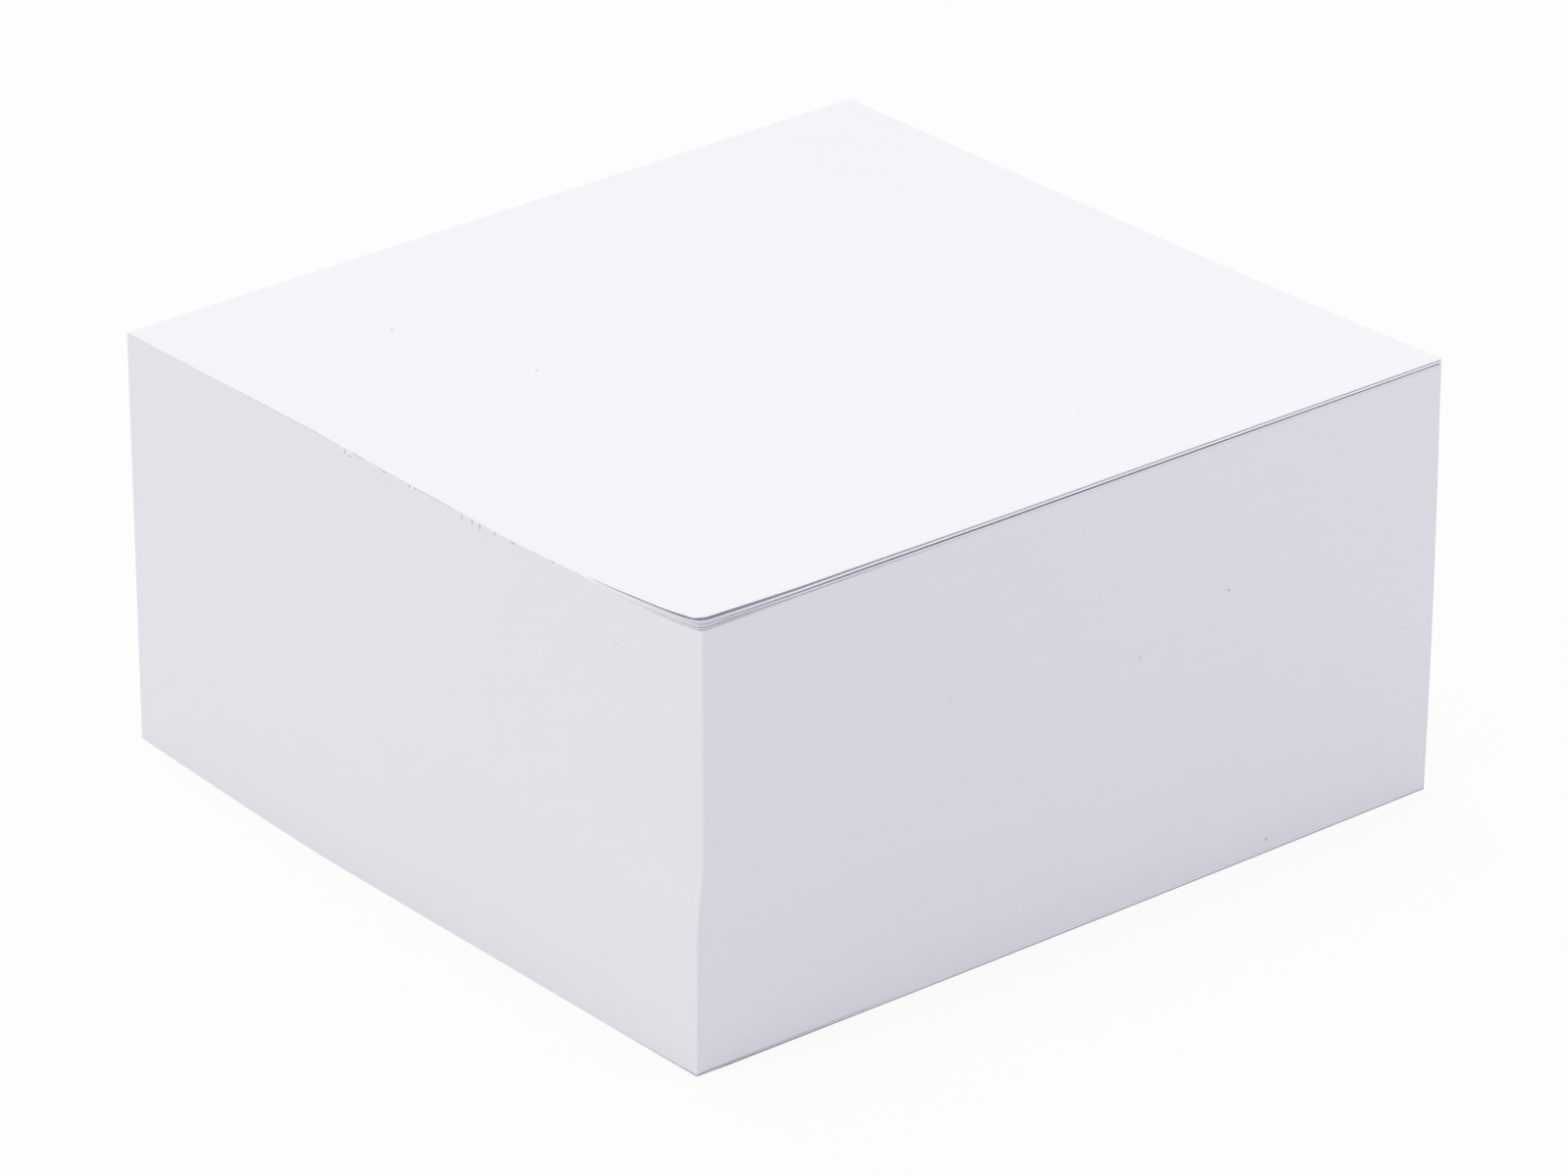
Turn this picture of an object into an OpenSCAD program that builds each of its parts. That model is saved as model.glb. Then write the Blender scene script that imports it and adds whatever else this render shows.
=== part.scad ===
// Memo cube refill: a block of plain white note sheets, glued together along one edge.
// The glued edge faces -X and the trimmed edges face -Y, +X and +Y.
// The origin is the middle of the base. Along the pad, u runs from 0 at the glued edge to 1
// at the free edge, and v from 0 at the front to 1 at the back. t is a share of the height.

/* [Pad] */
// Width of the pad, from the corners of the glued edge to the free edge
pad_width = 90; // [70:0.5:120]
// Depth of the pad, along the glued edge
pad_depth = 87.4; // [70:0.1:120]
// Height of the stack at the front of the glued edge, with every sheet pressed flat
pad_height = 44.5; // [20:0.1:90]
// Thickness of one sheet
sheet_t = 0.1; // [0.08:0.01:0.15]
// Thickness of the dried glue film on the glued edge
film_t = 0.2; // [0.1:0.05:0.5]

/* [Stack] */
// Extra height of the stack at the front end of the free edge
free_front_rise = 0.4; // [0:0.1:2]
// Extra height of the stack at the back end of the free edge
free_back_rise = 0.2; // [0:0.1:2]
// Height lost at the back end of the glued edge, where the glue draws the sheets together
glued_back_drop = 1.05; // [0:0.05:2]
// Outward bow of the free edge at mid height, left by the knife
cut_bow = 0.2; // [0:0.05:0.5]
// Outward bow of the front and back faces at the base
foot_bow = 0.2; // [0:0.05:0.5]
// Gap between the last sheet and the block at the front of the glued edge
base_gap = 0.12; // [0:0.02:0.4]

/* [Glued face] */
// How far the glued face leans out at the base, and in at the top
face_lean = 0.1; // [0:0.05:0.5]
// Outward swell of the glued face at the base
swell_low = 1; // [0:0.1:3]
// Place of that swell, as a share of the depth from the front
swell_low_at = 0.63; // [0.4:0.01:0.8]
// Outward swell of the glued face at the top
swell_high = 0.8; // [0:0.1:3]
// Place of that swell, as a share of the depth from the front
swell_high_at = 0.28; // [0.2:0.01:0.5]
// Where that swell has run out, as a share of the depth from the front
swell_high_end = 0.65; // [0.6:0.01:1]
// How far the upper sheets stand back at the front corner, at most
corner_inset = 0.75; // [0:0.05:2]
// How far they still stand back at the top of the stack
corner_inset_top = 0.65; // [0:0.05:2]
// Share of the height at which the sheets begin to stand back
inset_from = 0.33; // [0.1:0.01:0.4]
// Share of the height from which they stand back in full
inset_full = 0.54; // [0.45:0.01:0.8]

/* [Loose sheets] */
// Gap under the top sheet at its peeled corner
top_gap = 0.37; // [0.1:0.01:1]
// Gap under the top sheet at the far end of the front edge
top_gap_far = 0.1; // [0:0.01:0.3]
// Gap under the third sheet, where it is widest along the front edge
bundle_gap = 0.18; // [0:0.01:0.3]
// Gap under the third sheet at the peeled corner
bundle_gap_near = 0.08; // [0:0.01:0.3]
// Gap under the third sheet at the far end of the front edge
bundle_gap_far = 0.13; // [0:0.01:0.3]
// Gap under the fifth sheet at the peeled corner
fan_gap = 0.13; // [0:0.01:0.3]
// Gap under the sixth sheet at the peeled corner
low_gap = 0.1; // [0:0.01:0.3]
// Gap under the second sheet and under the fourth at the peeled corner
pair_gap = 0.05; // [0:0.01:0.3]
// Rise of the block itself along its front edge
edge_rise = 0.45; // [0:0.05:2]
// How far the corner of the top sheet has slid out past the glued face
top_slide = 0.3; // [0:0.05:1]
// Share of the glued edge, from the front, where the sheets have peeled from the glue
peel_reach = 0.19; // [0.05:0.01:0.4]
// Share of the depth, from the front, over which the sheets stand apart
gap_reach = 0.6; // [0.2:0.05:1]

/* [Hidden] */

// The loose sheets are counted from the top sheet, which is sheet 1
loose_count = 6;
bundle_end = 3;
fan_end = 5;
loose_t = loose_count * sheet_t;

// The swell, the lean and the bow are shared out, so that the pad stands centred on the origin
swell_bend = 0.06;
swell_round = 1.3;
shift_x = (swell_low * (1 - swell_bend / 2) + face_lean - cut_bow) / 2;
glued_edge_x = shift_x - pad_width / 2;
free_edge_x = shift_x + pad_width / 2;
front_y = -pad_depth / 2;
back_y = pad_depth / 2;

// The face keeps one outline over this last share of the height, so the loose sheets line up
face_top_share = 0.93;
inset_reach = 0.3;
inset_curve = 1.5;
foot_curve = 2;

// Shares of the width over which each kind of gap runs out
hold_reach = 0.25;
top_reach = 0.42;
bundle_reach = 0.25;
bundle_fall = 0.5;
fan_reach = 0.38;
low_reach = 0.13;
pair_reach = 0.12;
base_reach = 0.22;
peel_curve = 2.2;
gap_curve = 2;

// The glue film laps the loose sheets too, except where they have peeled and come out flush
film_lap_from = 0.12;
film_lap_full = 0.19;
flush_reach = 0.1;

// The grid is finer towards the peeled corner
cells = 12;
grid_curve = 1.6;
block_levels = 14;
share = [for (i = [0:cells]) pow(i / cells, grid_curve)];

paper_colour = [0.96, 0.965, 0.98];
page_edge_colour = [0.86, 0.86, 0.9];
film_colour = [0.9, 0.905, 0.92];

function mix(a, b, s) = a + (b - a) * s;
function clamp(s) = min(1, max(0, s));
function ease(s) = let (c = clamp(s)) c * c * (3 - 2 * c);
function fade(s, reach, curve) = pow(clamp(1 - s / reach), curve);
function soft_min(a, b) = (a + b - sqrt(pow(a - b, 2) + pow(swell_bend, 2))) / 2;

// A rise and fall from 0 at the front to 1 at the share at, and to 0 again at the share end
function hump(v, at, end, curve) =
    let (back = clamp((v - at) / (end - at))) soft_min(v / at, 1 - pow(back, curve));

// Outline of the glued face: a swell that moves forward with height, and a corner that stands back
function face_share(z) = clamp(z / (pad_height * face_top_share));
function swell(v, t) =
    mix(swell_low, swell_high, t)
    * hump(v, mix(swell_low_at, swell_high_at, t), mix(1, swell_high_end, t), mix(swell_round, 1, t));
function inset(v, t) =
    mix(corner_inset, corner_inset_top, clamp((t - inset_full) / (1 - inset_full)))
    * ease((t - inset_from) / (inset_full - inset_from)) * fade(v, inset_reach, inset_curve);
function face_x(v, z) =
    let (t = face_share(z)) glued_edge_x - swell(v, t) + inset(v, t) - mix(face_lean, -face_lean, t);
function arch(s) = 4 * s * (1 - s);
function free_x(z) = free_edge_x + cut_bow * arch(face_share(z));

// The front and back faces, which bow out at the base
function side_y(u, v, z) =
    mix(front_y, back_y, v) - mix(foot_bow, -foot_bow, v) * arch(u) * fade(face_share(z), 1, foot_curve);

// How far the sheets may open at a place: fully at the front edge, not at all where the glue holds
function hold(u, v) = mix(fade(v, peel_reach, peel_curve), 1, ease(u / hold_reach));
function open_share(u, v) = hold(u, v) * fade(v, gap_reach, gap_curve);

// Gap under loose sheet n, along the front edge and then anywhere
function third_gap(u) =
    mix(mix(bundle_gap_near, bundle_gap, ease(u / bundle_reach)), bundle_gap_far,
        ease((u - bundle_fall) / (1 - bundle_fall)));
function front_gap(n, u) =
    n == 1 ? mix(top_gap_far, top_gap, fade(u, top_reach, gap_curve)) :
    n == bundle_end ? third_gap(u) :
    n == fan_end ? fan_gap * fade(u, fan_reach, 1) :
    n == loose_count ? low_gap * fade(u, low_reach, 1) :
    pair_gap * fade(u, pair_reach, 1);
function lift(n, u, v) =
    n > loose_count ? 0 : front_gap(n, u) * open_share(u, v) + lift(n + 1, u, v);

// Heights of the block's base and top, and of the underside of loose sheet n
function stack_top(u, v) =
    pad_height + mix(mix(0, free_front_rise, u), mix(-glued_back_drop, free_back_rise, u), v);
function block_base(u, v) = sheet_t + base_gap * fade(u, base_reach, 1) * fade(v, base_reach, gap_curve);
function block_top(u, v) = stack_top(u, v) - loose_t + edge_rise * open_share(u, v);
function sheet_base(n, u, v) = block_top(u, v) + (loose_count - n) * sheet_t + lift(n, u, v);

// Height of the film's upper edge: over the loose sheets where they are still glued
function film_lap(v) = ease((v - film_lap_from) / (film_lap_full - film_lap_from));
function film_top(v) = block_top(0, v) + film_lap(v) * (loose_t + lift(1, 0, v));

// How far the edge of loose sheet n stands behind the outer face of the film
function loose_edge(n, v) =
    film_t * ease(v / flush_reach) - (n == 1 ? top_slide * fade(v, flush_reach, 1) : 0);

function pad_point(u, v, z, edge) = [mix(face_x(v, z) + edge, free_x(z), u), side_y(u, v, z), z];

// Paper between two height functions, as one closed solid with rings of points up its sides.
// edge gives how far its glued edge stands behind the outer face of the film.
module paper_slab(base, top, edge, levels) {
    row = cells + 1;
    cap = row * row;
    spots = [for (j = [0:cells]) for (i = [0:cells]) [share[i], share[j]]];
    rim = concat(
        [for (i = [0:cells - 1]) i],
        [for (j = [0:cells - 1]) j * row + cells],
        [for (i = [cells:-1:1]) cells * row + i],
        [for (j = [cells:-1:1]) j * row]
    );
    turn = len(rim);
    function height(spot, level) = mix(base(spot[0], spot[1]), top(spot[0], spot[1]), level / levels);
    function at(spot, level) = pad_point(spot[0], spot[1], height(spot, level), edge(spot[1]));
    function rim_index(level, k) =
        let (r = k % turn)
        level == 0 ? rim[r] : level == levels ? cap + rim[r] : 2 * cap + (level - 1) * turn + r;
    polyhedron(
        points = concat(
            [for (s = spots) at(s, 0)],
            [for (s = spots) at(s, levels)],
            [if (levels > 1) for (level = [1:levels - 1]) for (r = rim) at(spots[r], level)]
        ),
        faces = concat(
            [for (j = [0:cells - 1]) for (i = [0:cells - 1]) let (a = j * row + i)
                each [[a, a + 1, a + row + 1], [a, a + row + 1, a + row]]],
            [for (j = [0:cells - 1]) for (i = [0:cells - 1]) let (a = cap + j * row + i)
                each [[a, a + row + 1, a + 1], [a, a + row, a + row + 1]]],
            [for (level = [0:levels - 1]) for (k = [0:turn - 1])
                let (
                    low = rim_index(level, k),
                    low_next = rim_index(level, k + 1),
                    high = rim_index(level + 1, k),
                    high_next = rim_index(level + 1, k + 1)
                )
                each [[low, high, high_next], [low, high_next, low_next]]]
        )
    );
}

// The closed sheets of the block
module sheet_block() {
    color(page_edge_colour)
        paper_slab(
            function (u, v) block_base(u, v),
            function (u, v) block_top(u, v),
            function (v) film_t,
            block_levels
        );
}

// One sheet that has come loose at the front, counted from the top
module loose_sheet(n) {
    color(paper_colour)
        paper_slab(
            function (u, v) sheet_base(n, u, v),
            function (u, v) sheet_base(n, u, v) + sheet_t,
            function (v) loose_edge(n, v),
            1
        );
}

// The last sheet, flat on the table, with the film standing on its glued edge
module bottom_sheet() {
    function flat_point(u, v) = let (p = pad_point(u, v, 0, 0)) [p[0], p[1]];
    color(paper_colour)
        linear_extrude(sheet_t)
            polygon(concat(
                [for (i = [0:cells - 1]) flat_point(share[i], 0)],
                [for (i = [cells:-1:0]) flat_point(share[i], 1)],
                [for (j = [cells - 1:-1:1]) flat_point(0, share[j])]
            ));
}

// The dried glue over the page edges, which follows the face of the block. Its last row of
// points is above the block, and it is left out wherever the film doesn't lap the loose sheets.
module glue_film() {
    levels = block_levels + 1;
    row = cells + 1;
    skin = row * (levels + 1);
    function film_z(v, level) =
        level > block_levels ? film_top(v) : mix(block_base(0, v), block_top(0, v), level / block_levels);
    function film_point(v, z, depth) = [face_x(v, z) + depth, mix(front_y, back_y, v), z];
    function out(level, j) = min(level, film_lap(share[j]) > 0 ? levels : block_levels) * row + j;
    function inner(level, j) = skin + out(level, j);
    function is_triangle(f) = f[0] != f[1] && f[1] != f[2] && f[2] != f[0];
    color(film_colour)
        polyhedron(
            points = [for (depth = [0, film_t]) for (level = [0:levels]) for (v = share)
                film_point(v, film_z(v, level), depth)],
            faces = [for (f = concat(
                [for (k = [0:levels - 1]) for (j = [0:cells - 1])
                    each [[out(k, j), out(k, j + 1), out(k + 1, j)],
                          [out(k + 1, j), out(k, j + 1), out(k + 1, j + 1)],
                          [inner(k, j), inner(k + 1, j), inner(k, j + 1)],
                          [inner(k + 1, j), inner(k + 1, j + 1), inner(k, j + 1)]]],
                [for (j = [0:cells - 1])
                    each [[out(0, j), inner(0, j), inner(0, j + 1)],
                          [out(0, j), inner(0, j + 1), out(0, j + 1)],
                          [out(levels, j), inner(levels, j + 1), inner(levels, j)],
                          [out(levels, j), out(levels, j + 1), inner(levels, j + 1)]]],
                [for (k = [0:levels - 1])
                    each [[out(k, 0), out(k + 1, 0), inner(k + 1, 0)],
                          [out(k, 0), inner(k + 1, 0), inner(k, 0)],
                          [out(k, cells), inner(k + 1, cells), out(k + 1, cells)],
                          [out(k, cells), inner(k, cells), inner(k + 1, cells)]]]
            )) if (is_triangle(f)) f]
        );
}

sheet_block();
glue_film();
bottom_sheet();
loose_sheet(6);  // loose_sheet_6
loose_sheet(5);  // loose_sheet_5
loose_sheet(4);  // loose_sheet_4
loose_sheet(3);  // loose_sheet_3
loose_sheet(2);  // loose_sheet_2
loose_sheet(1);  // top_sheet
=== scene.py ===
# Memo cube refill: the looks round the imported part. Sizes are in millimetres until a mesh is made.
import math

import bpy
import numpy as np
from mathutils import Matrix, Vector


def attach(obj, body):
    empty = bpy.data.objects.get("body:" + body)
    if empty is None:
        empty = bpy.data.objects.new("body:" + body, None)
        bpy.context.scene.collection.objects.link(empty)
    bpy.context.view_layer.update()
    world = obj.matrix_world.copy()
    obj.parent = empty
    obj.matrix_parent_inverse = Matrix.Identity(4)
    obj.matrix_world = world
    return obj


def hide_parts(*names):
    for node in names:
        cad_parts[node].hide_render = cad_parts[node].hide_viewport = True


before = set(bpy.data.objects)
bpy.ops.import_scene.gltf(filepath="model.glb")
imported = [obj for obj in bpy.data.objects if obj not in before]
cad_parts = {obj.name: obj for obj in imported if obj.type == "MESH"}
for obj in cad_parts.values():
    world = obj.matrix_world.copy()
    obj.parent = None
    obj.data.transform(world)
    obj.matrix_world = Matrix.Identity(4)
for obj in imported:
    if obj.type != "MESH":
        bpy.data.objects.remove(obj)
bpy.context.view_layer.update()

MM = 0.001

# Sizes of the pad, as in the part's source
PAD_WIDTH, PAD_DEPTH, PAD_HEIGHT = 90, 87.4, 44.5
SHEET_T, FILM_T = 0.1, 0.2
FREE_FRONT_RISE, FREE_BACK_RISE, GLUED_BACK_DROP = 0.4, 0.2, 1.05
CUT_BOW, FOOT_BOW, FOOT_CURVE, BASE_GAP = 0.2, 0.2, 2, 0.12
FACE_LEAN, SWELL_BEND, SWELL_ROUND = 0.1, 0.06, 1.3
SWELL_LOW, SWELL_LOW_AT, SWELL_HIGH, SWELL_HIGH_AT, SWELL_HIGH_END = 1, 0.63, 0.8, 0.28, 0.65
CORNER_INSET, CORNER_INSET_TOP, INSET_FROM, INSET_FULL = 0.75, 0.65, 0.33, 0.54
INSET_REACH, INSET_CURVE, FACE_TOP_SHARE = 0.3, 1.5, 0.93
TOP_GAP, TOP_GAP_FAR, TOP_REACH = 0.37, 0.1, 0.42
BUNDLE_GAP, BUNDLE_GAP_NEAR, BUNDLE_GAP_FAR, BUNDLE_REACH, BUNDLE_FALL = 0.18, 0.08, 0.13, 0.25, 0.5
FAN_GAP, FAN_REACH, LOW_GAP, LOW_REACH, PAIR_GAP, PAIR_REACH = 0.13, 0.38, 0.1, 0.13, 0.05, 0.12
EDGE_RISE, TOP_SLIDE = 0.45, 0.3
PEEL_REACH, PEEL_CURVE, GAP_REACH, GAP_CURVE = 0.19, 2.2, 0.6, 2
HOLD_REACH, BASE_REACH = 0.25, 0.22
FILM_LAP_FROM, FILM_LAP_FULL, FLUSH_REACH = 0.12, 0.19, 0.1
LOOSE_COUNT, BUNDLE_END, FAN_END = 6, 3, 5
GRID_CURVE = 1.6
LOOSE_T = LOOSE_COUNT * SHEET_T
SHIFT_X = (SWELL_LOW * (1 - SWELL_BEND / 2) + FACE_LEAN - CUT_BOW) / 2
GLUED_X, FREE_X = SHIFT_X - PAD_WIDTH / 2, SHIFT_X + PAD_WIDTH / 2
FRONT_Y, BACK_Y = -PAD_DEPTH / 2, PAD_DEPTH / 2


# ---- Shape of the pad: u runs from the glued edge to the free edge, v from front to back ----


def mix(a, b, s):
    return a + (b - a) * s


def clamp(s):
    return np.clip(s, 0, 1)


def ease(s):
    c = clamp(s)
    return c * c * (3 - 2 * c)


def fade(s, reach, curve):
    return clamp(1 - s / reach) ** curve


def soft_min(a, b):
    return (a + b - np.sqrt((a - b) ** 2 + SWELL_BEND**2)) / 2


def face_share(z):
    return clamp(z / (PAD_HEIGHT * FACE_TOP_SHARE))


def hump(v, at, end, curve):
    """A rise from 0 at the front to 1 at one share of the depth, and a fall to 0 again at another."""
    return soft_min(v / at, 1 - clamp((v - at) / (end - at)) ** curve)


def face_x(v, z):
    """The outer face of the glue film, with its swell and its corner that stands back."""
    t = face_share(z)
    at, end = mix(SWELL_LOW_AT, SWELL_HIGH_AT, t), mix(1, SWELL_HIGH_END, t)
    swell = mix(SWELL_LOW, SWELL_HIGH, t) * hump(v, at, end, mix(SWELL_ROUND, 1, t))
    most = mix(CORNER_INSET, CORNER_INSET_TOP, clamp((t - INSET_FULL) / (1 - INSET_FULL)))
    inset = most * ease((t - INSET_FROM) / (INSET_FULL - INSET_FROM)) * fade(v, INSET_REACH, INSET_CURVE)
    return GLUED_X - swell + inset - mix(FACE_LEAN, -FACE_LEAN, t)


def arch(s):
    return 4 * s * (1 - s)


def free_x(z):
    return FREE_X + CUT_BOW * arch(face_share(z))


def side_y(u, v, z):
    """The front and back faces, which bow out at the base."""
    bow = mix(FOOT_BOW, -FOOT_BOW, v) * arch(u) * fade(face_share(z), 1, FOOT_CURVE)
    return mix(FRONT_Y, BACK_Y, v) - bow


def open_share(u, v):
    """How far the sheets may open: fully at the front edge, not at all where the glue holds."""
    hold = mix(fade(v, PEEL_REACH, PEEL_CURVE), 1, ease(u / HOLD_REACH))
    return hold * fade(v, GAP_REACH, GAP_CURVE)


def third_gap(u):
    middle = mix(BUNDLE_GAP_NEAR, BUNDLE_GAP, ease(u / BUNDLE_REACH))
    return mix(middle, BUNDLE_GAP_FAR, ease((u - BUNDLE_FALL) / (1 - BUNDLE_FALL)))


def front_gap(n, u):
    if n == 1:
        return mix(TOP_GAP_FAR, TOP_GAP, fade(u, TOP_REACH, GAP_CURVE))
    if n == BUNDLE_END:
        return third_gap(u)
    if n == FAN_END:
        return FAN_GAP * fade(u, FAN_REACH, 1)
    if n == LOOSE_COUNT:
        return LOW_GAP * fade(u, LOW_REACH, 1)
    return PAIR_GAP * fade(u, PAIR_REACH, 1)


def lift(n, u, v):
    return sum(front_gap(k, u) for k in range(n, LOOSE_COUNT + 1)) * open_share(u, v)


def stack_top(u, v):
    return PAD_HEIGHT + mix(mix(0, FREE_FRONT_RISE, u), mix(-GLUED_BACK_DROP, FREE_BACK_RISE, u), v)


def block_base(u, v):
    return SHEET_T + BASE_GAP * fade(u, BASE_REACH, 1) * fade(v, BASE_REACH, GAP_CURVE)


def block_top(u, v):
    return stack_top(u, v) - LOOSE_T + EDGE_RISE * open_share(u, v)


def sheet_base(n, u, v):
    return block_top(u, v) + (LOOSE_COUNT - n) * SHEET_T + lift(n, u, v)


def film_lap(v):
    return ease((v - FILM_LAP_FROM) / (FILM_LAP_FULL - FILM_LAP_FROM))


def film_top(v):
    return block_top(0, v) + film_lap(v) * (LOOSE_T + lift(1, 0, v))


def loose_edge(n, v):
    """How far the glued edge of loose sheet n stands behind the outer face of the film."""
    slide = TOP_SLIDE * fade(v, FLUSH_REACH, 1) if n == 1 else 0
    return FILM_T * ease(v / FLUSH_REACH) - slide


# ---- Meshes ----


def make_mesh(name, points, faces, material, stands_for=()):
    """One piece of the object, in metres, smooth except over its sharp edges."""
    mesh = bpy.data.meshes.new(name)
    mesh.from_pydata([tuple(p) for p in np.asarray(points, float) * MM], [], faces)
    mesh.validate()
    for polygon in mesh.polygons:
        polygon.use_smooth = True
    mesh.set_sharp_from_angle(angle=math.radians(30))
    mesh.materials.append(material)
    piece = bpy.data.objects.new(name, mesh)
    bpy.context.scene.collection.objects.link(piece)
    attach(piece, "root")
    if stands_for:
        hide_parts(*stands_for)
    return piece


def round_corner(x, y, corner_x, radius):
    """Rounds off the front corner at the glued edge."""
    a, b = clamp(1 - (x - corner_x) / radius), clamp(1 - (y - FRONT_Y) / radius)
    return x + radius * a * (1 - np.sqrt(1 - b * b / 2)), y + radius * b * (1 - np.sqrt(1 - a * a / 2))


def slab(base, top, edge, cells, heights, ripple=0, seed=0, corner=0):
    """Points and faces of paper between two height functions, as part.scad makes it but finer.
    heights are shares of the thickness, ripple is how far each ring of the side may stand in or out,
    and corner is the radius of the front corner at the glued edge."""
    share = (np.arange(cells + 1) / cells) ** GRID_CURVE
    u, v = (a.ravel() for a in np.meshgrid(share, share))
    row = cells + 1
    cap = row * row
    last = len(heights) - 1
    front = [i for i in range(cells)]
    free = [j * row + cells for j in range(cells)]
    back = [cells * row + i for i in range(cells, 0, -1)]
    glued = [j * row for j in range(cells, 0, -1)]
    rim = np.array(front + free + back + glued)
    turn = len(rim)
    rng = np.random.default_rng(seed)
    push = rng.uniform(-ripple, ripple, last + 1)
    push[0] = push[-1] = 0

    def ring(uu, vv, level):
        z = mix(base(uu, vv), top(uu, vv), heights[level])
        grow = push[level]
        x = mix(face_x(vv, z) + edge(vv), free_x(z) + grow, uu)
        y = side_y(uu, vv, z) + mix(-grow, grow, vv)
        if corner:
            x, y = round_corner(x, y, float(face_x(0, PAD_HEIGHT) + edge(0)), corner)
        return np.stack([x, y, z], 1)

    points = [ring(u, v, 0), ring(u, v, last)]
    points += [ring(u[rim], v[rim], level) for level in range(1, last)]

    def index(level, k):
        k %= turn
        if level == 0:
            return int(rim[k])
        if level == last:
            return int(cap + rim[k])
        return 2 * cap + (level - 1) * turn + k

    faces = []
    for j in range(cells):
        for i in range(cells):
            a = j * row + i
            faces.append((a, a + row, a + row + 1, a + 1))
            faces.append((cap + a, cap + a + 1, cap + a + row + 1, cap + a + row))
    for level in range(last):
        for k in range(turn):
            faces.append((index(level, k), index(level, k + 1), index(level + 1, k + 1), index(level + 1, k)))
    return np.concatenate(points), faces


# ---- Materials ----


def node(tree, kind, inputs=None, out=0, **settings):
    """Adds a node, sets or links its inputs, and returns one of its outputs."""
    made = tree.nodes.new(kind)
    for key, value in settings.items():
        setattr(made, key, value)
    for key, value in (inputs or {}).items():
        if isinstance(value, bpy.types.NodeSocket):
            tree.links.new(value, made.inputs[key])
        else:
            made.inputs[key].default_value = value
    return made.outputs[out] if made.outputs else made


def calc(tree, operation, a, b=0.0):
    return node(tree, "ShaderNodeMath", {0: a, 1: b}, operation=operation)


def place(tree):
    """Position on the object, in metres."""
    return node(tree, "ShaderNodeTexCoord", out=3)


def parts_of(tree, vector):
    """The x, y and z of a vector."""
    made = tree.nodes.new("ShaderNodeSeparateXYZ")
    tree.links.new(vector, made.inputs[0])
    return made.outputs


def facing_of(tree):
    """The x, y and z of the way that the surface faces."""
    return parts_of(tree, node(tree, "ShaderNodeNewGeometry", out=3))


def product(tree, first, *others):
    for other in others:
        first = calc(tree, "MULTIPLY", first, other)
    return first


def band(tree, value, full, none):
    """1 at the place full, in mm, and 0 at the place none and beyond."""
    low, high = min(full, none), max(full, none)
    return spread(tree, value, low * MM, high * MM, float(full < none), float(full > none))


def stretched(tree, vector, scale):
    return node(tree, "ShaderNodeVectorMath", {0: vector, 1: scale}, operation="MULTIPLY")


def noise(tree, vector, scale=1.0, detail=2.0, roughness=0.5):
    """Noise from 0 to 1. A scale of 1000 gives lumps of about a millimetre."""
    settings = {"Vector": vector, "Scale": scale, "Detail": detail, "Roughness": roughness}
    return node(tree, "ShaderNodeTexNoise", settings)


def spread(tree, value, low, high, to_low=0.0, to_high=1.0):
    settings = {"Value": value, "From Min": low, "From Max": high, "To Min": to_low, "To Max": to_high}
    return node(tree, "ShaderNodeMapRange", settings, clamp=True)


def blend_colour(tree, factor, a, b):
    made = tree.nodes.new("ShaderNodeMix")
    made.data_type = "RGBA"
    for key, value in ((0, factor), (6, a), (7, b)):
        if isinstance(value, bpy.types.NodeSocket):
            tree.links.new(value, made.inputs[key])
        else:
            made.inputs[key].default_value = value
    return made.outputs[2]


def weigh(tree, parts):
    """Sum of weight * (noise - 0.5), moved to lie round 0.5."""
    total = 0.5
    for value, weight in parts:
        total = calc(tree, "ADD", total, calc(tree, "MULTIPLY", calc(tree, "SUBTRACT", value, 0.5), weight))
    return total


def marks(tree, position, spots):
    """1 at each small mark, 0 elsewhere. A mark is x, y, z and radius, in mm."""
    total = 0.0
    for x, y, z, radius in spots:
        ends = {0: position, 1: (x * MM, y * MM, z * MM)}
        away = node(tree, "ShaderNodeVectorMath", ends, out=1, operation="DISTANCE")
        total = calc(tree, "MAXIMUM", total, spread(tree, away, radius * MM, radius * MM * MARK_SHARP))
    return total


def nicks(tree, rim, spots):
    """1 at each nick along the film's upper edge, 0 elsewhere. A nick is its place from front to back,
    its depth below the edge, and half its length and height, in mm."""
    total = 0.0
    for y, below, half_length, half_height in spots:
        ends = {0: rim, 1: (y * MM, below * MM, 0)}
        away = node(tree, "ShaderNodeVectorMath", ends, operation="SUBTRACT")
        away = stretched(tree, away, (1 / (half_length * MM), 1 / (half_height * MM), 0))
        away = node(tree, "ShaderNodeVectorMath", {0: away}, out=1, operation="LENGTH")
        total = calc(tree, "MAXIMUM", total, spread(tree, away, 1.0, NICK_SHARP))
    return total


def shade(colour, by):
    return tuple(c * by for c in colour) + (1.0,)


def new_material(name, roughness, specular):
    material = bpy.data.materials.new(name)
    material.use_nodes = True
    tree = material.node_tree
    shader = tree.nodes["Principled BSDF"]
    shader.inputs["Roughness"].default_value = roughness
    shader.inputs["Specular IOR Level"].default_value = specular
    return material, tree, shader


def bump(tree, shader, height, distance):
    made = node(tree, "ShaderNodeBump", {"Height": height, "Strength": 1.0, "Distance": distance * MM})
    tree.links.new(made, shader.inputs["Normal"])


# Base colours, as in the record
PAPER = (0.93, 0.94, 0.965)
PAGE_EDGE = (0.84, 0.845, 0.905)
FILM = (0.88, 0.89, 0.93)

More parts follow.
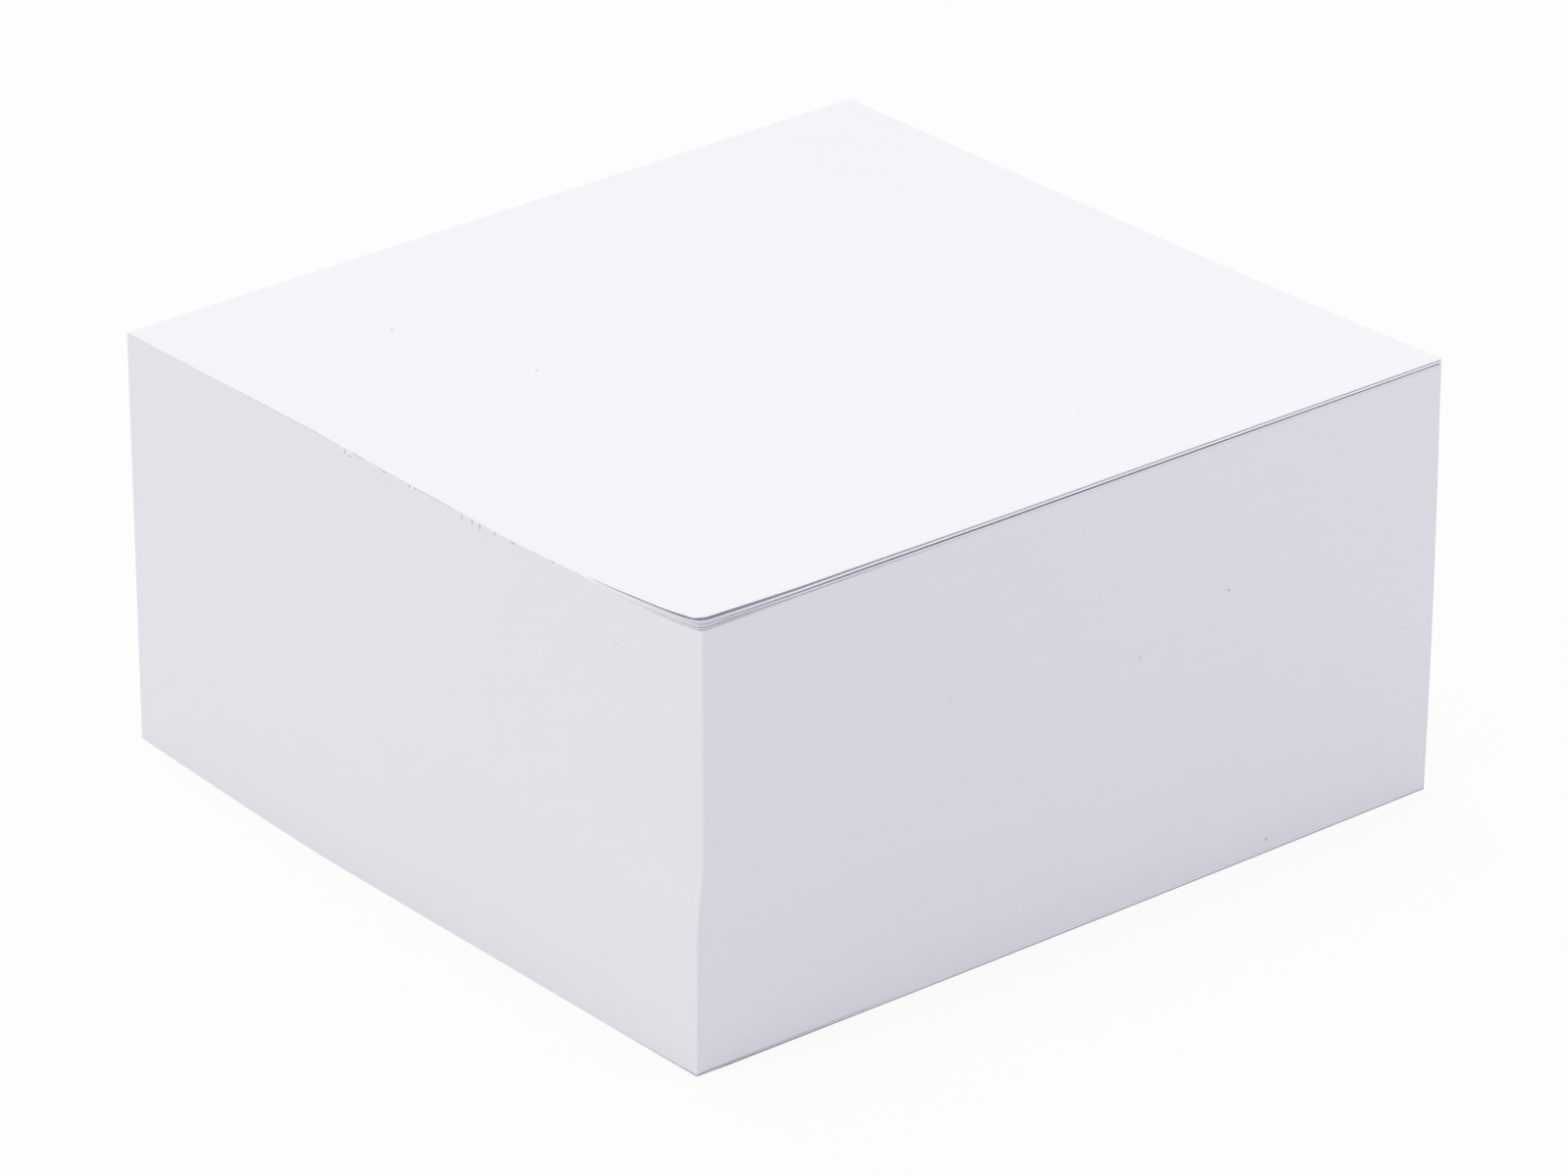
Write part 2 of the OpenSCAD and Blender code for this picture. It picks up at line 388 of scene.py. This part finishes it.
# Small marks of wear, and painted shade and highlight for the cracked and torn film edge
SPECK = (0.33, 0.32, 0.34)
PAPER_SPECK, EDGE_SPECK, FILM_SPECK = 1.6, 1.6, 1.9
MARK_SHARP, NICK_SHARP = 0.5, 0.7
CRACK_SHADE, TORN_HIGHLIGHT = (0.58, 0.57, 0.61, 1.0), (0.97, 0.97, 0.98, 1.0)
LINT_FROM, LINT_FULL, LINT_SHADE = 0.7, 0.73, 1.1

# The loose sheets: painted shade in their gaps, reaching in mm from the front or the glued edge
GAP_SHADE, BUNDLE_GAP_SHADE, GLUED_GAP_SHADE = (0.88, 0.84, 0.965), (0.62, 0.59, 0.70), (0.13, 0.12, 0.16)
GAP_SHADE_NEAR, GAP_SHADE_FAR = 0.8, 3.0
# Their thin edges: a painted highlight at the peeled corner, painted shade along the front, and painted shade
# under the top sheet
THIN_EDGE_HIGHLIGHT, BUNDLE_EDGE_SHADE, LOW_EDGE_SHADE = (0.975, 0.965, 1.0), (0.89, 0.88, 0.945), (0.79, 0.78, 0.86)
FRONT_EDGE_FROM, FRONT_EDGE_FULL = 1.5, 3.5
LAP_FROM, LAP_FULL = -42.0, -38.5
EDGE_SHADE = (0.52, 0.50, 0.59)
EDGE_SHADE_FRONT, EDGE_SHADE_BACK = (-43.2, -41.5), (-32.5, -28.0)

# The foot: painted shade on the last sheet's front edge, where the table shades it, and a painted hairline of
# shade above it near the corner
FOOT_SHADE = (0.36, 0.355, 0.39)
GROOVE_Z, GROOVE_HALF, GROOVE_SHARP, GROOVE_SHADE = 0.3, 0.055, 0.6, 0.66
GROOVE_FULL_TO, GROOVE_END, GROOVE_DEEP = -27.0, -19.0, 1
RIM_FULL, RIM_NONE = 0.1, 0.25


def paper_material(name, spots=(), as_top_sheet=False, gap_shade=GAP_SHADE, glued_gap_shade=None, front_edge_shade=None):
    """Uncoated writing paper: a faint cloud, short fibres, and a few specks. The sheets' thin edges
    get a painted highlight, and their inner sides get painted shade where the peeled corner has opened them.
    as_top_sheet keeps that painted shade off the upper side, as the top of the block is. gap_shade and
    glued_gap_shade are the painted shades in the gaps at the front and the glued edge, and front_edge_shade
    is painted shade on the front edge away from the corner, as for the last sheet, which the table shades."""
    material, tree, shader = new_material(name, 0.82, 0.3)
    position = place(tree)
    cloud = noise(tree, position, 160, 3)
    fibre = noise(tree, position, 2600, 3, 0.6)
    grain = noise(tree, stretched(tree, position, (3200, 900, 3200)), 1, 2)
    tone = weigh(tree, [(cloud, 0.5), (fibre, 0.5), (grain, 0.4)])
    colour = blend_colour(tree, tone, shade(PAPER, 0.992), shade(PAPER, 1.008))
    x, y, z = parts_of(tree, position)
    toward_x, toward_y, toward_z = facing_of(tree)

    def paint(mask, new):
        return blend_colour(tree, mask, colour, new + (1.0,))

    # Painted shade on the inner sides, in the gaps
    flat = calc(tree, "ABSOLUTE", toward_z)
    if as_top_sheet:
        inside = calc(tree, "LESS_THAN", toward_z, -0.5)
    else:
        inside = calc(tree, "GREATER_THAN", flat, 0.5)
    if glued_gap_shade:
        from_glue = band(tree, x, GLUED_X + GAP_SHADE_NEAR, GLUED_X + GAP_SHADE_FAR)
        colour = paint(product(tree, inside, from_glue), glued_gap_shade)
    from_front = band(tree, y, FRONT_Y + GAP_SHADE_NEAR, FRONT_Y + GAP_SHADE_FAR)
    colour = paint(product(tree, inside, from_front), gap_shade)

    # The thin edges: a painted highlight, with painted shade in places below
    colour = paint(calc(tree, "LESS_THAN", flat, 0.5), THIN_EDGE_HIGHLIGHT)
    glued_side = calc(tree, "LESS_THAN", toward_x, -0.5)
    if not glued_gap_shade:
        colour = paint(product(tree, glued_side, band(tree, y, LAP_FULL, LAP_FROM)), PAPER)
    # Painted shade on the top sheet's glued edge, for the shadow under the top sheet
    if as_top_sheet:
        ahead = band(tree, y, EDGE_SHADE_FRONT[1], EDGE_SHADE_FRONT[0])
        behind = band(tree, y, EDGE_SHADE_BACK[0], EDGE_SHADE_BACK[1])
        colour = paint(product(tree, glued_side, calc(tree, "MINIMUM", ahead, behind)), EDGE_SHADE)
    # Painted shade on the front edge away from the peeled corner
    if front_edge_shade:
        front_side = calc(tree, "LESS_THAN", toward_y, -0.5)
        along = band(tree, x, GLUED_X + FRONT_EDGE_FULL, GLUED_X + FRONT_EDGE_FROM)
        colour = paint(product(tree, front_side, along), front_edge_shade)

    if spots:
        colour = blend_colour(tree, marks(tree, position, spots), colour, shade(SPECK, PAPER_SPECK))
    tree.links.new(colour, shader.inputs["Base Color"])
    tree.links.new(spread(tree, fibre, 0.3, 0.7, 0.78, 0.88), shader.inputs["Roughness"])
    bump(tree, shader, weigh(tree, [(fibre, 0.6), (grain, 0.4)]), 0.004)
    return material


def page_edge_material():
    """Knife-cut page edges: sheet lines, slanting knife marks, lint and a few dark specks."""
    material, tree, shader = new_material("page_edge_paper", 0.85, 0.2)
    position = place(tree)
    x, y, z = parts_of(tree, position)
    along = calc(tree, "ADD", x, y)
    sheets = noise(tree, stretched(tree, position, (60, 60, 9000)), 1, 1)
    bundles = noise(tree, stretched(tree, position, (14, 14, 1300)), 1, 3)
    down = calc(tree, "SUBTRACT", along, z)
    across = calc(tree, "ADD", along, z)
    slant = node(tree, "ShaderNodeCombineXYZ", {0: down, 1: across, 2: 0.0})
    knife = noise(tree, stretched(tree, slant, (110, 2600, 1)), 1, 2)
    lint = noise(tree, stretched(tree, slant, (900, 3400, 1)), 1, 2)
    cloud = noise(tree, position, 70, 3)
    tone = weigh(tree, [(sheets, 0.5), (bundles, 0.35), (knife, 0.3), (cloud, 0.25)])
    colour = blend_colour(tree, tone, shade(PAGE_EDGE, 0.985), shade(PAGE_EDGE, 1.015))
    fluff = spread(tree, lint, LINT_FROM, LINT_FULL)
    colour = blend_colour(tree, fluff, colour, shade(PAGE_EDGE, LINT_SHADE))
    # Painted shade on a hairline where a sheet near the foot stands open a hair at the front corner
    off_line = calc(tree, "ABSOLUTE", calc(tree, "SUBTRACT", z, GROOVE_Z * MM))
    on_line = band(tree, off_line, GROOVE_HALF * GROOVE_SHARP, GROOVE_HALF)
    reach = band(tree, x, GROOVE_FULL_TO, GROOVE_END)
    in_front = calc(tree, "LESS_THAN", y, (FRONT_Y + GROOVE_DEEP) * MM)
    groove = product(tree, on_line, reach, in_front)
    colour = blend_colour(tree, groove, colour, shade(PAGE_EDGE, GROOVE_SHADE))
    colour = blend_colour(tree, marks(tree, position, EDGE_SPECKS), colour, shade(SPECK, EDGE_SPECK))
    tree.links.new(colour, shader.inputs["Base Color"])
    tree.links.new(spread(tree, bundles, 0.3, 0.7, 0.8, 0.9), shader.inputs["Roughness"])
    bump(tree, shader, weigh(tree, [(sheets, 0.5), (bundles, 0.3), (knife, 0.4)]), 0.006)
    return material


def film_material():
    """Dried padding glue: smooth and matt, with the sheet lines just showing through, cracked and
    torn a little along its upper edge, with painted shade in the cracks and a painted highlight on the torn
    flakes."""
    material, tree, shader = new_material("padding_glue", 0.6, 0.35)
    position = place(tree)
    sheets = noise(tree, stretched(tree, position, (50, 50, 7000)), 1, 1)
    brush = noise(tree, stretched(tree, position, (60, 60, 420)), 1, 3)
    cloud = noise(tree, position, 90, 2)
    tone = weigh(tree, [(sheets, 0.3), (brush, 0.3), (cloud, 0.3)])
    colour = blend_colour(tree, tone, shade(FILM, 0.994), shade(FILM, 1.006))
    # How far below its upper edge, which falls evenly towards the back
    x, y, z = parts_of(tree, position)
    slope = GLUED_BACK_DROP / PAD_DEPTH
    below = calc(tree, "SUBTRACT", (PAD_HEIGHT + slope * FRONT_Y) * MM, z)
    below = calc(tree, "SUBTRACT", below, calc(tree, "MULTIPLY", y, slope))
    rim = node(tree, "ShaderNodeCombineXYZ", {0: y, 1: below, 2: 0.0})
    # Along the upper edge, a painted highlight on the torn flakes and painted shade in the cracks
    colour = blend_colour(tree, nicks(tree, rim, RIM_TORN_HIGHLIGHTS), colour, TORN_HIGHLIGHT)
    colour = blend_colour(tree, nicks(tree, rim, RIM_CRACK_SHADES), colour, CRACK_SHADE)
    # Its upper side, level with the top sheet, is as white as the paper
    upward = calc(tree, "GREATER_THAN", facing_of(tree)[2], 0.5)
    at_top = band(tree, below, RIM_FULL, RIM_NONE)
    colour = blend_colour(tree, product(tree, upward, at_top), colour, PAPER + (1.0,))
    colour = blend_colour(tree, marks(tree, position, FILM_SPECKS), colour, shade(SPECK, FILM_SPECK))
    tree.links.new(colour, shader.inputs["Base Color"])
    tree.links.new(spread(tree, brush, 0.3, 0.7, 0.55, 0.66), shader.inputs["Roughness"])
    bump(tree, shader, weigh(tree, [(sheets, 0.4), (brush, 0.6)]), 0.004)
    return material


# ---- Small marks of wear that the photograph shows, with painted shade and highlights along the film's torn edge, in mm ----


def on_front(x, z, radius):
    """A mark on the cut front face."""
    u = (x - GLUED_X) / PAD_WIDTH
    return x, float(side_y(u, 0, z)), z, radius


def on_top(x, y, radius):
    """A mark on the top sheet."""
    u, v = (x - GLUED_X) / PAD_WIDTH, (y - FRONT_Y) / PAD_DEPTH
    return x, y, float(sheet_base(1, u, v) + SHEET_T), radius


def on_film(y, z, radius):
    """A mark on the glue film."""
    return float(face_x((y - FRONT_Y) / PAD_DEPTH, z)), y, z, radius


EDGE_SPECKS = [
    on_front(18.9, 29.4, 0.16), on_front(24.6, 1.4, 0.2), on_front(7.9, 25.8, 0.14),
    on_front(26.6, 35.2, 0.08), on_front(-15.0, 28.6, 0.08), on_front(42.1, 18.3, 0.1),
]
TOP_SPECKS = [on_top(-25.0, 27.4, 0.17), on_top(-20.4, 10.6, 0.14), on_top(11.4, -30.6, 0.1)]
FILM_SPECKS = [on_film(-32.4, 39.1, 0.12), on_film(-6.1, 17.3, 0.09)]
# Nicks along the film's upper edge, the torn flakes with a painted highlight and the cracks with painted
# shade: place, depth below the edge, half length and half height
RIM_TORN_HIGHLIGHTS = [
    (8.8, 0.12, 0.26, 0.24), (7.5, 0.3, 0.42, 0.24), (1.9, 0.06, 0.26, 0.12), (-2.6, 0.2, 0.16, 0.2),
    (-12.6, 0.12, 0.3, 0.16),
]
RIM_CRACK_SHADES = [
    (18.0, 0.02, 9.5, 0.05), (8.2, 0.36, 0.11, 0.28), (7.4, 0.56, 0.4, 0.08), (6.0, 0.04, 1.3, 0.07),
    (1.9, 0.2, 0.36, 0.1), (-2.2, 0.18, 0.14, 0.2), (-3.1, 0.14, 0.14, 0.18), (-6.4, 0.03, 3.4, 0.06),
    (-10.4, 0.36, 0.1, 0.36), (-12.0, 0.3, 0.12, 0.32), (-13.2, 0.34, 0.13, 0.4), (-15.5, 0.2, 0.11, 0.24),
    (-18.3, 0.12, 0.45, 0.1), (-23.9, 0.1, 0.3, 0.09),
]

paper = paper_material("note_paper")
second_paper = paper_material("note_paper_second", glued_gap_shade=GLUED_GAP_SHADE)
bundle_paper = paper_material("note_paper_bundle", gap_shade=BUNDLE_GAP_SHADE, front_edge_shade=BUNDLE_EDGE_SHADE)
low_paper = paper_material("note_paper_low", front_edge_shade=LOW_EDGE_SHADE)
last_paper = paper_material("note_paper_last", front_edge_shade=FOOT_SHADE)
top_paper = paper_material("note_paper_top", TOP_SPECKS, as_top_sheet=True)
page_edges = page_edge_material()
film_glue = film_material()

# ---- Pieces ----

SHEET_CELLS = 72
TOP_CORNER, LOOSE_CORNER = 0.9, 0.6
BLOCK_RINGS, BLOCK_RIPPLE, BLOCK_SEED = 150, 0.008, 5
FILM_COLUMNS, FILM_RINGS, FILM_LIP = 240, 80, 0.002

points, faces = slab(
    block_base,
    block_top,
    lambda v: FILM_T,
    SHEET_CELLS,
    np.linspace(0, 1, BLOCK_RINGS + 1),
    ripple=BLOCK_RIPPLE,
    seed=BLOCK_SEED,
)
make_mesh("closed_pages", points, faces, page_edges, ["sheet_block"])

# Each loose sheet, from the top one down: its own name, the solid it stands for, and its paper
LOOSE_SHEETS = [
    ("note_sheet_top", "top_sheet", top_paper),
    ("note_sheet_2", "loose_sheet_2", second_paper),
    ("note_sheet_3", "loose_sheet_3", paper),
    ("note_sheet_4", "loose_sheet_4", bundle_paper),
    ("note_sheet_5", "loose_sheet_5", low_paper),
    ("note_sheet_6", "loose_sheet_6", low_paper),
]
for n, (name, stands_for, sheet_material) in enumerate(LOOSE_SHEETS, 1):
    points, faces = slab(
        lambda u, v: sheet_base(n, u, v),
        lambda u, v: sheet_base(n, u, v) + SHEET_T,
        lambda v: loose_edge(n, v),
        SHEET_CELLS,
        [0, 1],
        corner=TOP_CORNER if n == 1 else LOOSE_CORNER,
    )
    make_mesh(name, points, faces, sheet_material, [stands_for])

points, faces = slab(
    lambda u, v: 0 * u, lambda u, v: 0 * u + SHEET_T, lambda v: 0 * v, SHEET_CELLS, [0, 1]
)
make_mesh("note_sheet_last", points, faces, last_paper, ["bottom_sheet"])


def film_piece():
    """The dried glue over the page edges, as one closed skin with an inner and an outer side."""
    columns, rings = FILM_COLUMNS, FILM_RINGS
    v = (np.arange(columns + 1) / columns) ** GRID_CURVE
    row = columns + 1
    skin = row * (rings + 2)
    points = []
    for depth in (0, FILM_T):
        for level in range(rings + 2):
            if level > rings:
                z = np.maximum(film_top(v), block_top(0, v) + FILM_LIP)
            else:
                z = mix(block_base(0, v), block_top(0, v), level / rings)
            points.append(np.stack([face_x(v, z) + depth, mix(FRONT_Y, BACK_Y, v), z], 1))
    faces = []
    for level in range(rings + 1):
        for j in range(columns):
            a = level * row + j
            faces.append((a, a + row, a + row + 1, a + 1))
            faces.append((skin + a, skin + a + 1, skin + a + row + 1, skin + a + row))
    high = (rings + 1) * row
    for j in range(columns):
        faces.append((j, j + 1, skin + j + 1, skin + j))
        faces.append((high + j, skin + high + j, skin + high + j + 1, high + j + 1))
    for level in range(rings + 1):
        a, b = level * row, (level + 1) * row
        faces.append((a, skin + a, skin + b, b))
        faces.append((a + columns, b + columns, skin + b + columns, skin + a + columns))
    return np.concatenate(points), faces


points, faces = film_piece()
make_mesh("glue_skin", points, faces, film_glue, ["glue_film"])

# ---- Floor, light and camera ----


TABLE_TONES = (0.93, 0.93, 0.93, 1), (0.95, 0.95, 0.95, 1)
FLOOR_WHITE = 0.85
FLOOR_SIZE, FLOOR_Z = 6.0, -0.00002


def floor_material():
    """A plain white table. It shows as white in the view, with the object's shadow on it."""
    material = bpy.data.materials.new("white_table")
    material.use_nodes = True
    tree = material.node_tree
    tree.nodes.clear()
    grain = noise(tree, place(tree), 300, 2)
    colour = blend_colour(tree, grain, *TABLE_TONES)
    lit = node(tree, "ShaderNodeBsdfDiffuse", {"Color": colour})
    white = node(tree, "ShaderNodeEmission", {"Color": (1, 1, 1, 1), "Strength": 1.0})
    path = tree.nodes.new("ShaderNodeLightPath")
    seen = calc(tree, "MAXIMUM", path.outputs["Is Camera Ray"], path.outputs["Is Glossy Ray"])
    seen = calc(tree, "MAXIMUM", seen, path.outputs["Is Transmission Ray"])
    share = calc(tree, "MULTIPLY", seen, FLOOR_WHITE)
    surface = node(tree, "ShaderNodeMixShader", {0: share, 1: lit, 2: white})
    node(tree, "ShaderNodeOutputMaterial", {"Surface": surface})
    return material


bpy.ops.mesh.primitive_plane_add(size=FLOOR_SIZE, location=(0, 0, FLOOR_Z))
floor = bpy.context.object
floor.name = "white_floor"
floor.data.materials.append(floor_material())

# The world lights the scene evenly and shows as white behind the object
LIGHT_TINT = (0.98, 0.985, 1.0)
WORLD_LIGHT = 0.625
world = bpy.data.worlds.new("studio")
bpy.context.scene.world = world
world.use_nodes = True
tree = world.node_tree
tree.nodes.clear()
path = tree.nodes.new("ShaderNodeLightPath")
seen = path.outputs["Is Camera Ray"]
colour = blend_colour(tree, seen, LIGHT_TINT + (1.0,), (1.0, 1.0, 1.0, 1.0))
strength = spread(tree, seen, 0, 1, WORLD_LIGHT, 1.0)
background = node(tree, "ShaderNodeBackground", {"Color": colour, "Strength": strength})
node(tree, "ShaderNodeOutputWorld", {"Surface": background})

# Lamps: name, place and size in metres, power in watts, and what they face
MIDDLE, FRONT_FACE = (0, 0, 0.02), (0.035, -0.044, 0.03)
LAMPS = [
    ("lamp_top", (0.0, 0.0, 0.9), 0.8, 1.58, MIDDLE),
    ("lamp_left", (-0.9, 0.1, 0.35), 0.6, 0.52, MIDDLE),
    ("lamp_left_high", (-0.6, 0.1, 0.8), 0.3, 0.808, MIDDLE),
    ("lamp_back_high", (0.1, 0.6, 0.8), 0.3, 1.019, MIDDLE),
    ("lamp_front_near", (0.14, -0.21, 0.2), 0.1, 0.045, FRONT_FACE),
    ("lamp_front_low", (0.14, -0.2, 0.12), 0.1, 0.009, FRONT_FACE),
]
for name, location, size, power, target in LAMPS:
    light = bpy.data.lights.new(name, "AREA")
    light.size = size
    light.energy = power
    light.color = LIGHT_TINT
    lamp = bpy.data.objects.new(name, light)
    bpy.context.scene.collection.objects.link(lamp)
    lamp.location = location
    lamp.rotation_mode = "QUATERNION"
    lamp.rotation_quaternion = (Vector(target) - lamp.location).to_track_quat("-Z", "Y")
    lamp.visible_camera = False

# The camera, from a fit to the block's corners in the photograph. Lengths are shares of the width.
ELEVATION, AZIMUTH = math.radians(25.619), math.radians(39.163)
FIT_X, FIT_Y, FIT_Z, FOCAL_PX = -0.0054, -0.18995, 8.0723, 7597
SENSOR_MM, IMAGE_PX = 36, 1600
ce, se, ca, sa = math.cos(ELEVATION), math.sin(ELEVATION), math.cos(AZIMUTH), math.sin(AZIMUTH)
right, up, ahead = Vector((ca, -sa, 0)), Vector((se * sa, se * ca, ce)), Vector((ce * sa, ce * ca, -se))
camera_data = bpy.data.cameras.new("photo_camera")
camera_data.sensor_width = SENSOR_MM
camera_data.lens = FOCAL_PX / IMAGE_PX * SENSOR_MM
camera_data.clip_start, camera_data.clip_end = 0.01, 20
camera = bpy.data.objects.new("photo_camera", camera_data)
bpy.context.scene.collection.objects.link(camera)
spot = PAD_WIDTH * MM * (-FIT_X * right - FIT_Y * up - FIT_Z * ahead) + Vector((SHIFT_X * MM, 0, 0))
turn = Matrix((right, up, -ahead)).transposed().to_4x4()
camera.matrix_world = Matrix.Translation(spot) @ turn
bpy.context.scene.camera = camera
bpy.context.scene.view_settings.view_transform = "Standard"
